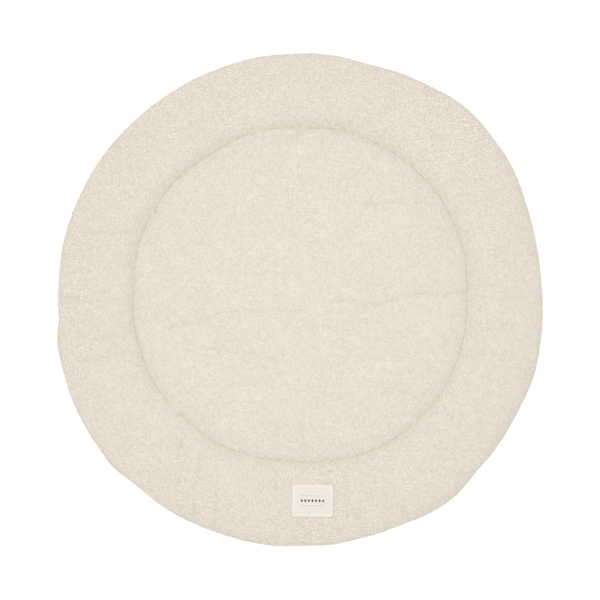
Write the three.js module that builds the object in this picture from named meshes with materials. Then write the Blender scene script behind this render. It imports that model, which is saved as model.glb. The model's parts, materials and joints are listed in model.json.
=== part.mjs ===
// Round padded playpen mat: one filled pad, sewn through along a ring, and a small cloth label.
// Millimetres, +Z up. The mat lies flat on z = 0. +Y points away from the label.
import * as THREE from 'three';
import { mergeVertices } from 'three/addons/utils/BufferGeometryUtils.js';

// Pad sizes
const MAT_RADIUS = 475;
const RING_RADIUS = 326;
const DISC_HEIGHT = 23;
const RIM_HEIGHT = 26;
const CHANNEL_HEIGHT = 10.5;
const CHANNEL_LIFT = 1.5;
const SEAM_TOP = 9;
const SEAM_BOTTOM = 4.5;
const SEAM_ROUND = 1.2;

// Widths over which the pad rises from its stitches and its edge
const DISC_RISE = 75;
const RIM_RISE = 42;
const EDGE_RISE = 46;
const EDGE_UNDERCUT = 26;
const CHANNEL_ARCH = 26;
const PUFF_POWER = 2.3;

// Label sizes
const LABEL_WIDTH = 79;
const LABEL_LENGTH = 62;
const LABEL_THICKNESS = 1;
const LABEL_X = 23.9;
const LABEL_Y = -384.5;
const LABEL_TURN = -1.2;
const LABEL_CORNER = 1.2;
const LABEL_STEPS_X = 13;
const LABEL_STEPS_Y = 10;
const GAP = 0.3;

// Finishes
const TERRY_COLOUR = 0xe8dfd0;
const TERRY_ROUGHNESS = 0.95;
const LABEL_COLOUR = 0xf6f2e8;
const LABEL_ROUGHNESS = 0.85;

// The outline and the ring are circles about these points, pushed in or out near some angles
const OUTLINE_CENTRE = { x: 1.3, y: 0.6 };
const RING_CENTRE = { x: 1.3, y: 10.3 };

// Swellings and dents of the sewn edge: at and spread in degrees, out in millimetres
const OUTLINE_BUMPS = [
  { at: 3, spread: 16, out: -9 },
  { at: 20, spread: 8, out: -3 },
  { at: 45, spread: 16, out: 12 },
  { at: 51, spread: 5, out: 2 },
  { at: 74, spread: 6, out: -3.5 },
  { at: 93, spread: 5, out: -1.5 },
  { at: 118, spread: 14, out: -3 },
  { at: 150, spread: 28, out: -5.5 },
  { at: 178, spread: 9, out: -5.5 },
  { at: 184.5, spread: 3.5, out: -4.5 },
  { at: 190, spread: 2.5, out: 2.5 },
  { at: 212, spread: 15, out: 7.5 },
  { at: 221.5, spread: 4, out: 4.5 },
  { at: 229, spread: 3, out: -1.5 },
  { at: 240, spread: 10, out: 4 },
  { at: 258, spread: 13, out: 2.5 },
  { at: 271, spread: 4, out: -1.5 },
  { at: 278, spread: 4, out: 1 },
  { at: 300, spread: 4, out: 3.5 },
  { at: 307, spread: 6, out: 7 },
  { at: 316, spread: 4, out: -2 },
  { at: 332, spread: 8, out: -3 },
];

// The sewn ring strays from its circle in the same way
const RING_BUMPS = [
  { at: 0, spread: 10, out: -5 },
  { at: 36, spread: 10, out: 2 },
  { at: 90, spread: 10, out: -4.5 },
  { at: 122, spread: 10, out: -5 },
  { at: 178, spread: 8, out: -4 },
  { at: 212, spread: 12, out: 4.5 },
  { at: 240, spread: 6, out: 3.5 },
  { at: 264, spread: 7, out: -4 },
  { at: 300, spread: 14, out: 6 },
  { at: 325, spread: 10, out: 6 },
];

// Soft troughs that packing folded into the pad, each along a straight line on its top:
// its two ends, how wide it spreads to either side and how deep it is
const FOLDS = [
  { x0: -470, y0: 10, x1: -400, y1: 9, width: 13, depth: 2.2 },
  { x0: 75, y0: -1, x1: 330, y1: 16, width: 14, depth: 1.8 },
  { x0: -2, y0: 345, x1: -2, y1: 290, width: 12, depth: 1.6 },
  { x0: -2, y0: -135, x1: 0, y1: -315, width: 14, depth: 1.6 },
  { x0: -292, y0: -56, x1: -164, y1: -87, width: 17, depth: 2.4 },
  { x0: -164, y0: -87, x1: -29, y1: -120, width: 15, depth: 2.0 },
  { x0: -212, y0: -24, x1: 29, y1: -24, width: 15, depth: 1.2 },
  { x0: 135, y0: 188, x1: 290, y1: 188, width: 15, depth: 1.0 },
  { x0: -414, y0: 131, x1: -330, y1: 131, width: 14, depth: 1.4 },
  { x0: -410, y0: -76, x1: -336, y1: -116, width: 14, depth: 2.0 },
  { x0: -238, y0: -280, x1: -252, y1: -385, width: 14, depth: 1.8 },
  { x0: -158, y0: -320, x1: -166, y1: -430, width: 14, depth: 1.8 },
  { x0: -48, y0: -345, x1: -50, y1: -462, width: 14, depth: 2.0 },
  { x0: 88, y0: -352, x1: 88, y1: -400, width: 12, depth: 1.6 },
  { x0: 345, y0: 52, x1: 440, y1: 56, width: 14, depth: 1.4 },
  { x0: 340, y0: -70, x1: 445, y1: -84, width: 14, depth: 1.4 },
];

// The sewn edge ripples a little in height
const EDGE_WAVES = [
  { waves: 5, phase: 40, lift: 0.8 },
  { waves: 11, phase: 110, lift: 0.6 },
];

// Stations of the turned section: the share of the way from the middle to the ring, or from
// the ring to the edge, closer together where the pad curves most
const DISC_TOP_SHARES = [0, 0.2, 0.4, 0.56, 0.68, 0.77, 0.84, 0.89, 0.93, 0.96, 0.982, 1];
const RIM_TOP_SHARES = [0.035, 0.09, 0.16, 0.25, 0.36, 0.49, 0.62, 0.73, 0.82, 0.89, 0.94, 0.975];
const DISC_UNDER_SHARES = [0, 0.6, 0.92, 0.965, 1];
const RIM_UNDER_SHARES = [0.09, 0.3, 0.6, 0.82, 0.91, 0.97];
const SEGMENTS = 120;
const MERGE_DISTANCE = 1e-5;

function bell(distance, spread) {
  return Math.exp(-((distance / spread) ** 2));
}

function angleBetween(a, b) {
  return ((a - b + 540) % 360) - 180;
}

// A circle's radius at one angle, with the bumps near that angle added
function unevenRadius(radius, bumps, degrees) {
  let sum = radius;
  for (const bump of bumps) {
    sum += bump.out * bell(angleBetween(degrees, bump.at), bump.spread);
  }
  return sum;
}

function pointAt(centre, radius, degrees) {
  const angle = THREE.MathUtils.degToRad(degrees);
  return new THREE.Vector2(centre.x + radius * Math.cos(angle), centre.y + radius * Math.sin(angle));
}

function ringPoint(degrees) {
  return pointAt(RING_CENTRE, unevenRadius(RING_RADIUS, RING_BUMPS, degrees), degrees);
}

function edgePoint(degrees) {
  return pointAt(OUTLINE_CENTRE, unevenRadius(MAT_RADIUS, OUTLINE_BUMPS, degrees), degrees);
}

function distanceToFold(point, fold) {
  const start = new THREE.Vector2(fold.x0, fold.y0);
  const along = new THREE.Vector2(fold.x1 - fold.x0, fold.y1 - fold.y0);
  const offset = point.clone().sub(start);
  const share = THREE.MathUtils.clamp(offset.dot(along) / along.lengthSq(), 0, 1);
  return offset.sub(along.multiplyScalar(share)).length();
}

function foldDepth(point) {
  let depth = 0;
  for (const fold of FOLDS) {
    depth += fold.depth * bell(distanceToFold(point, fold), fold.width);
  }
  return depth;
}

// 0 at a stitched line, 1 where the pad is full
function puff(distance, rise) {
  return 1 - (1 - Math.min(distance / rise, 1)) ** PUFF_POWER;
}

// 0 at the sewn edge, 1 where the pad is full, with a round shoulder between
function shoulder(distance, rise) {
  return Math.sqrt(1 - (1 - Math.min(distance / rise, 1)) ** 2);
}

function edgeLift(degrees) {
  let lift = 0;
  for (const wave of EDGE_WAVES) {
    lift += wave.lift * Math.sin(THREE.MathUtils.degToRad(wave.waves * degrees + wave.phase));
  }
  return lift;
}

// The stitches draw the underside up a little off the floor
function channelArch(fromRing) {
  const share = Math.min(fromRing / CHANNEL_ARCH, 1);
  return CHANNEL_LIFT * Math.cos((share * Math.PI) / 2) ** 2;
}

function discPoint(station, degrees) {
  const ring = ringPoint(degrees);
  const point = new THREE.Vector2(RING_CENTRE.x, RING_CENTRE.y).lerp(ring, station.share);
  const fromRing = point.distanceTo(ring);
  if (station.side === 'under') {
    return new THREE.Vector3(point.x, point.y, channelArch(fromRing));
  }
  const full = DISC_HEIGHT - foldDepth(point);
  const height = CHANNEL_HEIGHT + (full - CHANNEL_HEIGHT) * puff(fromRing, DISC_RISE);
  return new THREE.Vector3(point.x, point.y, height);
}

function rimPoint(station, degrees) {
  const ring = ringPoint(degrees);
  const edge = edgePoint(degrees);
  const point = ring.clone().lerp(edge, station.share);
  const fromRing = point.distanceTo(ring);
  const fromEdge = point.distanceTo(edge);
  if (station.side === 'under') {
    const undercut = (SEAM_BOTTOM + edgeLift(degrees)) * (1 - shoulder(fromEdge, EDGE_UNDERCUT));
    return new THREE.Vector3(point.x, point.y, undercut + channelArch(fromRing));
  }
  const full = RIM_HEIGHT - foldDepth(point);
  const drawnToRing = (full - CHANNEL_HEIGHT) * (1 - puff(fromRing, RIM_RISE));
  const drawnToEdge = (full - SEAM_TOP - edgeLift(degrees)) * (1 - shoulder(fromEdge, EDGE_RISE));
  return new THREE.Vector3(point.x, point.y, full - drawnToRing - drawnToEdge);
}

// The two covers meet in a narrow rounded seam
function seamPoint(station, degrees) {
  const edge = edgePoint(degrees);
  edge.lerp(new THREE.Vector2(0, 0), station.setIn / MAT_RADIUS);
  return new THREE.Vector3(edge.x, edge.y, station.height + edgeLift(degrees));
}

// From the middle underneath, out round the edge, to the middle of the top
function sectionStations() {
  const disc = { place: discPoint, from: 0, to: RING_RADIUS };
  const rim = { place: rimPoint, from: RING_RADIUS, to: MAT_RADIUS };
  const seam = { place: seamPoint, from: MAT_RADIUS, to: MAT_RADIUS, share: 1 };
  return [
    ...DISC_UNDER_SHARES.map((share) => ({ ...disc, share, side: 'under' })),
    ...RIM_UNDER_SHARES.map((share) => ({ ...rim, share, side: 'under' })),
    { ...seam, setIn: SEAM_ROUND, height: SEAM_BOTTOM },
    { ...seam, setIn: 0, height: (SEAM_BOTTOM + SEAM_TOP) / 2 },
    { ...seam, setIn: SEAM_ROUND, height: SEAM_TOP },
    ...RIM_TOP_SHARES.toReversed().map((share) => ({ ...rim, share, side: 'top' })),
    ...DISC_TOP_SHARES.toReversed().map((share) => ({ ...disc, share, side: 'top' })),
  ];
}

function closed(geometry) {
  geometry.deleteAttribute('normal');
  geometry.deleteAttribute('uv');
  const merged = mergeVertices(geometry, MERGE_DISTANCE);
  merged.computeVertexNormals();
  return merged;
}

// A plain round section is turned, then each point goes where the uneven ring, edge and folds put it
function matGeometry() {
  const stations = sectionStations();
  const section = stations.map(({ from, to, share, side }) => {
    const height = side === 'under' ? 0 : RIM_HEIGHT;
    return new THREE.Vector2(THREE.MathUtils.lerp(from, to, share), height);
  });
  const lathe = new THREE.LatheGeometry(section, SEGMENTS);
  const places = lathe.getAttribute('position');
  for (let i = 0; i < places.count; i += 1) {
    const station = stations[i % stations.length];
    const step = Math.floor(i / stations.length) % SEGMENTS;
    const point = station.place(station, (step * 360) / SEGMENTS);
    places.setXYZ(i, point.x, point.y, point.z);
  }
  return closed(lathe);
}

// The label is laid on the pad's own faces, so it follows the crown under it
function labelGeometry(pad) {
  const box = new THREE.BoxGeometry(
    LABEL_WIDTH, LABEL_LENGTH, LABEL_THICKNESS, LABEL_STEPS_X, LABEL_STEPS_Y, 1,
  );
  const places = box.getAttribute('position');
  const turn = THREE.MathUtils.degToRad(LABEL_TURN);
  const middle = new THREE.Vector2(0, 0);
  const place = new THREE.Vector2(LABEL_X, LABEL_Y);
  const down = new THREE.Vector3(0, 0, -1);
  const corner = new THREE.Vector2(LABEL_WIDTH / 2, LABEL_LENGTH / 2).length();
  for (let i = 0; i < places.count; i += 1) {
    const point = new THREE.Vector2(places.getX(i), places.getY(i));
    point.clampLength(0, corner - LABEL_CORNER);
    point.rotateAround(middle, turn).add(place);
    const above = new THREE.Vector3(point.x, point.y, 2 * RIM_HEIGHT);
    const hit = new THREE.Raycaster(above, down).intersectObject(pad)[0];
    const middleHeight = hit.point.z + GAP + LABEL_THICKNESS / 2;
    places.setXYZ(i, point.x, point.y, middleHeight + places.getZ(i));
  }
  return closed(box);
}

function cloth(colour, roughness) {
  return new THREE.MeshStandardMaterial({ color: colour, roughness, metalness: 0 });
}

const mat = new THREE.Mesh(matGeometry(), cloth(TERRY_COLOUR, TERRY_ROUGHNESS));
mat.name = 'mat';

const label = new THREE.Mesh(labelGeometry(mat), cloth(LABEL_COLOUR, LABEL_ROUGHNESS));
label.name = 'label';

const group = new THREE.Group();
group.add(mat, label);

export default group;
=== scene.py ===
"""Round padded playpen mat of looped terry cloth.

The mat is one filled pad. Its two covers are sewn together round the edge and once more
along a ring, which parts the padded middle from the padded rim. Short curls of pile stand on
the top cover, thread lies in the sewn ring, and a small cotton label is stitched to the rim.
"""
import json
import logging
import math
from contextlib import contextmanager
from dataclasses import dataclass, field
from enum import Enum
from typing import Any, Callable, Iterator, Sequence

import bmesh
import bpy
import numpy as np
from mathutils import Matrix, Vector, noise
from mathutils.bvhtree import BVHTree

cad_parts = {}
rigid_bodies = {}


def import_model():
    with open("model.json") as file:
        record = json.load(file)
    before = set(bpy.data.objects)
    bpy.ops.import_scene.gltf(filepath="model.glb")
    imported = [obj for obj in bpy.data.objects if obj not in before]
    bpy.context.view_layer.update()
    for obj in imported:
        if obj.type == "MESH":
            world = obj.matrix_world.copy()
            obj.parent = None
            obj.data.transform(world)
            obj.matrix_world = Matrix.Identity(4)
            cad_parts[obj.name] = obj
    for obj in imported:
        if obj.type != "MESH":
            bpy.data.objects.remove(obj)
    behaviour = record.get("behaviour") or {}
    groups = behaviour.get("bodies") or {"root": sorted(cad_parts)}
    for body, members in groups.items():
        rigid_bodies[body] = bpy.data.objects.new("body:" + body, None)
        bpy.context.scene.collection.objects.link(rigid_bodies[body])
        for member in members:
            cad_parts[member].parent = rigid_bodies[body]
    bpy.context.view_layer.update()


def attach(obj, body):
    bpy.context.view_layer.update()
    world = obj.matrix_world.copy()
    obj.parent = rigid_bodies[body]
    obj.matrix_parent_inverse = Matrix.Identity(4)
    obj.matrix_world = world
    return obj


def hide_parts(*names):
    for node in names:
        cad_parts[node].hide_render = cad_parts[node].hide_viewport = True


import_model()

MM = 0.001
BODY = "root"
BAKE_MAP = "OFBake"
MAP_SCALE = 1.02

# Names of the values that points carry, for the finishes and the pile
STATION = "station"
FROM_RING = "from_ring"
BY_RING = "by_ring"
FROM_SEAM = "from_seam"
FROM_EDGE = "from_edge"
# How much painted shade the folds give a point
FOLD_SHADE = "in_fold"
TONE = "tone"
HEM = "hem"
FACING = "facing"

# A point's station says where it lies: 0 in the middle of the top cover, 1 on the sewn ring
# and 2 on the edge, then the line where the covers are sewn together, and the underside cover.
# A point is sewn fast from SEWN_FROM on, and the top's relief and folds fade over TOP_FADES.
SEAM_STATION = 2.5
UNDER_STATION = 3.0
SEWN_FROM = 1.999
TOP_FADES = (2.0, 2.4)
WOVEN_FROM = 2.6

PUFF_POWER = 2.3
TINY = 1e-9

Colour = tuple[float, float, float, float]

# What a finish gives: its colour, and its height where it is bumpy
Look = tuple[bpy.types.NodeSocket, bpy.types.NodeSocket | None]

log = logging.getLogger("playpen_mat")


@dataclass(frozen=True)
class Bump:
    """A swelling or dent of a round line: its place and spread in degrees, its height in mm."""

    at: float
    spread: float
    out: float


@dataclass(frozen=True)
class Fold:
    """A crease in the pad's top along a line of points, with its width and depth, in mm."""

    line: tuple[tuple[float, float], ...]
    width: float
    depth: float


@dataclass(frozen=True)
class Wave:
    """A ripple of the edge: how often it goes round, its start in degrees, its lift in mm."""

    count: int
    start: float
    lift: float


OUTLINE_BUMPS = (
    Bump(3, 16, -9), Bump(8, 10, -1.5), Bump(20, 8, -3), Bump(40, 3.5, -2), Bump(45, 16, 12),
    Bump(51, 5, 2), Bump(74, 6, -3.5), Bump(93, 5, -1.5), Bump(117, 5, 1), Bump(118, 14, -3),
    Bump(146, 10, 1.5), Bump(150, 28, -5.5), Bump(178, 9, -5.5), Bump(183, 2.5, 1),
    Bump(184.5, 3.5, -4.5), Bump(190, 2.5, 1), Bump(191, 10, 1.5), Bump(212, 15, 7.5),
    Bump(221.5, 4, 4.5), Bump(229, 7, 1), Bump(229, 3, -1.5), Bump(240, 10, 4),
    Bump(248, 10, -1), Bump(258, 13, 2.5), Bump(271, 4, -1.5), Bump(278, 4, 1),
    Bump(283, 3.5, -1), Bump(300, 4, 3.5), Bump(307, 6, 7), Bump(316, 4, -2),
    Bump(326, 7, -1), Bump(332, 8, -3), Bump(349, 3.5, -1),
)

RING_BUMPS = (
    Bump(0, 10, -5), Bump(36, 10, 2), Bump(90, 10, -4.5), Bump(122, 10, -5),
    Bump(178, 8, -4), Bump(212, 12, 4.5), Bump(240, 6, 3.5), Bump(264, 7, -4),
    Bump(300, 14, 6), Bump(325, 10, 6),
)

FOLDS = (
    Fold(((72, -1), (101, -3), (129, -7), (151, -9), (177, 1), (208, 10), (234, 13),
          (265, 10), (319, 15)), 6.5, 1.9),
    Fold(((-246, -52), (-198, -44), (-172, -33), (-150, -24), (-111, -20), (-72, -22),
          (-40, -19), (10, -22)), 6, 1.6),
    Fold(((-220, -81), (-181, -94), (-150, -93), (-107, -102), (-72, -104), (-41, -120)), 6, 1.7),
    Fold(((125, 183), (155, 184), (190, 189), (225, 186), (256, 184)), 5, 1.4),
    Fold(((-412, 125), (-373, 129), (-325, 128)), 6, 1.6),
    Fold(((-464, 7), (-438, 6), (-408, -4), (-385, -2)), 7, 1.7),
    Fold(((-421, -119), (-395, -115), (-370, -108), (-338, -103)), 6, 2.0),
    Fold(((-392, -75), (-364, -71), (-336, -63)), 6, 1.8),
    Fold(((345, 28), (372, 27)), 6, 1.7), Fold(((385, 4), (402, 1)), 6, 1.5),
    Fold(((350, -57), (374, -58), (395, -46)), 6, 1.7),
    Fold(((345, -101), (372, -104), (415, -108)), 6, 1.5),
    Fold(((-6, 323), (-6, 308), (4, 302)), 6, 1.4), Fold(((2, -243), (7, -302)), 7, 1.2),
    Fold(((-228, -272), (-235, -303)), 6, 2.1), Fold(((-226, -325), (-236, -350)), 6, 1.6),
    Fold(((-192, -305), (-195, -335), (-201, -360)), 6, 1.9),
    Fold(((-202, -378), (-203, -408)), 7, 1.5),
    Fold(((-160, -372), (-162, -408), (-170, -440)), 6, 2.0),
    Fold(((-46, -330), (-48, -362)), 6, 1.8), Fold(((52, -333), (53, -350)), 6, 1.7),
    Fold(((73, -362), (75, -400)), 7, 1.3), Fold(((87, -340), (90, -415)), 6, 1.5),
)

EDGE_WAVES = (Wave(5, 40, 0.8), Wave(11, 110, 0.6))


def bell(distance: np.ndarray, spread: float) -> np.ndarray:
    """1 at no distance, fading softly over the spread."""
    return np.exp(-((distance / spread) ** 2))


def puff(distance: np.ndarray, rise: float) -> np.ndarray:
    """0 at a stitched line, 1 where the pad is full."""
    return 1 - (1 - np.clip(distance / rise, 0, 1)) ** PUFF_POWER


def shoulder(distance: np.ndarray, rise: float) -> np.ndarray:
    """0 at the sewn edge, 1 where the pad is full, with a round shoulder between."""
    return np.sqrt(1 - (1 - np.clip(distance / rise, 0, 1)) ** 2)


def smooth_step(value: np.ndarray, low: float, high: float) -> np.ndarray:
    """0 up to the low value, 1 from the high value, and smooth between."""
    share = np.clip((value - low) / (high - low), 0, 1)
    return share * share * (3 - 2 * share)


def wander(points: np.ndarray, size: float, layer: float) -> np.ndarray:
    """Soft noise from -1 to 1 at each x and y, with swellings of the given size in metres."""
    return np.array([noise.noise(Vector((x / size, y / size, layer))) for x, y in points])


def centred(count: int, pitch: float) -> np.ndarray:
    """Evenly spaced places on both sides of 0."""
    return (np.arange(count) - (count - 1) / 2) * pitch


@dataclass(frozen=True)
class Rumple:
    """Soft noise in two sizes, in metres, each in a layer of its own."""

    wide: float
    wide_layer: float
    fine: float
    fine_layer: float
    fine_share: float = 0.6

    def at(self, points: np.ndarray) -> np.ndarray:
        """The noise at each x and y."""
        wide = wander(points, self.wide, self.wide_layer)
        return wide + self.fine_share * wander(points, self.fine, self.fine_layer)


def round_line(
    centre: tuple[float, float], radius: float, bumps: Sequence[Bump], degrees: np.ndarray
) -> np.ndarray:
    """Points of a circle that bumps push in or out.

    Args:
        centre: The circle's middle, in metres.
        radius: The circle's radius, in metres.
        bumps: The swellings and dents.
        degrees: The angle of each point.

    Returns:
        One row of x and y for each angle, in metres.
    """
    reach = np.full(degrees.shape, radius)
    for bump in bumps:
        apart = (degrees - bump.at + 540) % 360 - 180
        reach = reach + bump.out * MM * bell(apart, bump.spread)
    angle = np.radians(degrees)
    return np.stack([centre[0] + reach * np.cos(angle), centre[1] + reach * np.sin(angle)], -1)


def deselect_all() -> None:
    """Leaves nothing selected, so that an operator acts on the new piece alone."""
    bpy.ops.object.select_all(action="DESELECT")


def select_only(piece: bpy.types.Object) -> None:
    """Selects one object and makes it the active one.

    Args:
        piece: The object.
    """
    deselect_all()
    piece.select_set(True)
    bpy.context.view_layer.objects.active = piece


def select_points(piece: bpy.types.Object, chosen: np.ndarray) -> None:
    """Selects only some points of a piece, ready for edit mode.

    Args:
        piece: The object.
        chosen: Whether each point is selected.
    """
    for parts in (piece.data.polygons, piece.data.edges):
        parts.foreach_set("select", np.zeros(len(parts), dtype=bool))
    piece.data.vertices.foreach_set("select", chosen)


@contextmanager
def editing(everything: bool = True) -> Iterator[None]:
    """Opens edit mode on the active object for the operators inside.

    Args:
        everything: Whether all of it is selected first, or the selection stays as it is.
    """
    bpy.ops.object.mode_set(mode="EDIT")
    if everything:
        bpy.ops.mesh.select_all(action="SELECT")
    yield
    bpy.ops.object.mode_set(mode="OBJECT")


def named(name: str) -> bpy.types.Object:
    """Names the object that an operator just added, and its mesh.

    Args:
        name: The name for both.

    Returns:
        The object.
    """
    piece = bpy.context.active_object
    piece.name = name
    piece.data.name = name
    return piece


def place_mesh(name: str, mesh: bpy.types.Mesh) -> bpy.types.Object:
    """Puts a mesh into the scene.

    Args:
        name: The name of the new piece.
        mesh: Its mesh.

    Returns:
        The new piece.
    """
    piece = bpy.data.objects.new(name, mesh)
    bpy.context.scene.collection.objects.link(piece)
    return piece


def points_of(piece: bpy.types.Object) -> np.ndarray:
    """Reads where a piece's points are.

    Args:
        piece: The object.

    Returns:
        x, y and z, one row for each point.
    """
    flat = np.empty(len(piece.data.vertices) * 3, dtype=np.float32)
    piece.data.vertices.foreach_get("co", flat)
    return flat.reshape(-1, 3).astype(float)


def put_points(piece: bpy.types.Object, points: np.ndarray) -> None:
    """Moves the piece's points to new places."""
    piece.data.vertices.foreach_set("co", points.astype(np.float32).ravel())
    piece.data.update()


def keep_values(piece: bpy.types.Object, name: str, values: np.ndarray) -> None:
    """Stores one number for each point, under a name that finishes and pile can read."""
    held = piece.data.attributes.new(name, "FLOAT", "POINT")
    held.data.foreach_set("value", np.ascontiguousarray(values, dtype=np.float32))


def values_of(piece: bpy.types.Object, name: str) -> np.ndarray:
    """Reads back what keep_values stored.

    Args:
        piece: The object.
        name: The name that the numbers were stored under.

    Returns:
        One number for each point.
    """
    values = np.empty(len(piece.data.vertices), dtype=np.float32)
    piece.data.attributes[name].data.foreach_get("value", values)
    return values.astype(float)


def apply_modifier(piece: bpy.types.Object, kind: str, **settings: Any) -> None:
    """Adds a modifier with its settings and applies it.

    Args:
        piece: The object that it shapes.
        kind: The modifier's type.
        settings: The modifier's own properties.
    """
    select_only(piece)
    modifier = piece.modifiers.new(kind.lower(), kind)
    for name, value in settings.items():
        setattr(modifier, name, value)
    bpy.ops.object.modifier_apply(modifier=modifier.name)


def turns_along(tangents: np.ndarray, normals: np.ndarray) -> np.ndarray:
    """Turns that lay x along a line and z along the normal beside it.

    Args:
        tangents: Which way the line runs at each place.
        normals: Which way the surface faces there, about square to the tangent.

    Returns:
        A turning matrix for each place.
    """
    across = np.cross(normals, tangents)
    across /= np.linalg.norm(across, axis=1, keepdims=True)
    along = np.cross(across, normals)
    along /= np.linalg.norm(along, axis=1, keepdims=True)
    return np.stack([along, across, np.cross(along, across)], axis=-1)


def repeat_form(
    form: bpy.types.Object, name: str, places: np.ndarray, turns: np.ndarray
) -> bpy.types.Object:
    """Joins copies of one small form into a piece, each copy with faces of its own.

    Args:
        form: The modelled form, about the origin. It is removed afterwards.
        name: The name of the new piece.
        places: Where each copy goes, one row each.
        turns: A turning matrix for each copy.

    Returns:
        The joined piece.
    """
    shape = points_of(form)
    faces = [tuple(face.vertices) for face in form.data.polygons]
    points = np.einsum("kij,vj->kvi", turns, shape) + places[:, None, :]
    all_faces = [
        tuple(corner + copy * len(shape) for corner in face)
        for copy in range(len(places))
        for face in faces
    ]
    mesh = bpy.data.meshes.new(name)
    mesh.from_pydata(points.reshape(-1, 3).tolist(), [], all_faces)
    mesh.shade_smooth()
    bpy.data.objects.remove(form)
    return place_mesh(name, mesh)


def set_inputs(node: bpy.types.Node, values: dict[str, Any]) -> None:
    """Sets inputs of a node to values that are the same all over."""
    for name, value in values.items():
        node.inputs[name].default_value = value


class Surface:
    """The top of a finished piece, for laying other pieces on."""

    def __init__(self, piece: bpy.types.Object) -> None:
        """Keeps a search tree of a piece's faces.

        Args:
            piece: The piece that others are laid on.
        """
        whole = bmesh.new()
        whole.from_mesh(piece.data)
        self.tree = BVHTree.FromBMesh(whole)
        whole.free()

    def under(self, points: np.ndarray) -> tuple[np.ndarray, np.ndarray]:
        """Finds the top straight under each point.

        Args:
            points: x and y of each point.

        Returns:
            The heights of the top, nan beside the piece, and the directions that it faces.
        """
        up, down = Vector((0, 0, 1)), Vector((0, 0, -1))
        hits = [self.tree.ray_cast(Vector((x, y, 1)), down) for x, y in points]
        heights = [hit[0].z if hit[0] else np.nan for hit in hits]
        return np.array(heights), np.array([hit[1] or up for hit in hits])


class NodeSheet:
    """Writes a node tree from left to right, each node with what feeds it."""

    def __init__(self, tree: bpy.types.NodeTree) -> None:
        """Keeps the tree that the nodes go into."""
        self.tree = tree

    def add(
        self, kind: str, inputs: dict[str | int, Any] | None = None, **settings: Any
    ) -> bpy.types.Node:
        """Adds one node.

        Args:
            kind: The node's class name.
            inputs: For each input, by name or number, its value or the output that feeds it.
            settings: The node's own properties.

        Returns:
            The new node.
        """
        node = self.tree.nodes.new(kind)
        for name, value in settings.items():
            setattr(node, name, value)
        for name, value in (inputs or {}).items():
            socket = self._in_use(node.inputs, name)
            if isinstance(value, bpy.types.NodeSocket):
                self.tree.links.new(value, socket)
            else:
                socket.default_value = value
        return node

    def out(
        self, kind: str, inputs: dict[str | int, Any] | None = None,
        socket: str | int = 0, **settings: Any
    ) -> bpy.types.NodeSocket:
        """Adds one node as add() does, and returns the output with this name or number."""
        return self._in_use(self.add(kind, inputs, **settings).outputs, socket)

    def held(self, name: str) -> bpy.types.NodeSocket:
        """The number that keep_values stored under this name."""
        return self.out("ShaderNodeAttribute", socket="Fac", attribute_name=name)

    def place(self) -> bpy.types.NodeSocket:
        """Where the shaded point is on the object."""
        return self.out("ShaderNodeTexCoord", socket="Object")

    def noise(self, place: Any, scale: Any, detail: float = 2.0) -> bpy.types.NodeSocket:
        """Soft noise from 0 to 1 about each place."""
        inputs = {"Vector": place, "Scale": scale, "Detail": detail}
        return self.out("ShaderNodeTexNoise", inputs)

    def sum(self, operation: str, *values: Any) -> bpy.types.NodeSocket:
        """The result of one sum on values or outputs."""
        return self.out("ShaderNodeMath", dict(enumerate(values)), operation=operation)

    def mix(self, factor: Any, first: Any, second: Any) -> bpy.types.NodeSocket:
        """A colour between two colours."""
        inputs = {"Factor": factor, "A": first, "B": second}
        return self.out("ShaderNodeMix", inputs, "Result", data_type="RGBA")

    @staticmethod
    def _in_use(sockets: Any, name: str | int) -> bpy.types.NodeSocket:
        """Finds a socket among those that the node's settings leave enabled.

        Args:
            sockets: The node's inputs or outputs.
            name: The socket's name, or its number among those enabled.

        Returns:
            The socket.
        """
        used = [socket for socket in sockets if socket.enabled]
        if isinstance(name, int):
            return used[name]
        return next(socket for socket in used if socket.name == name)


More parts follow.
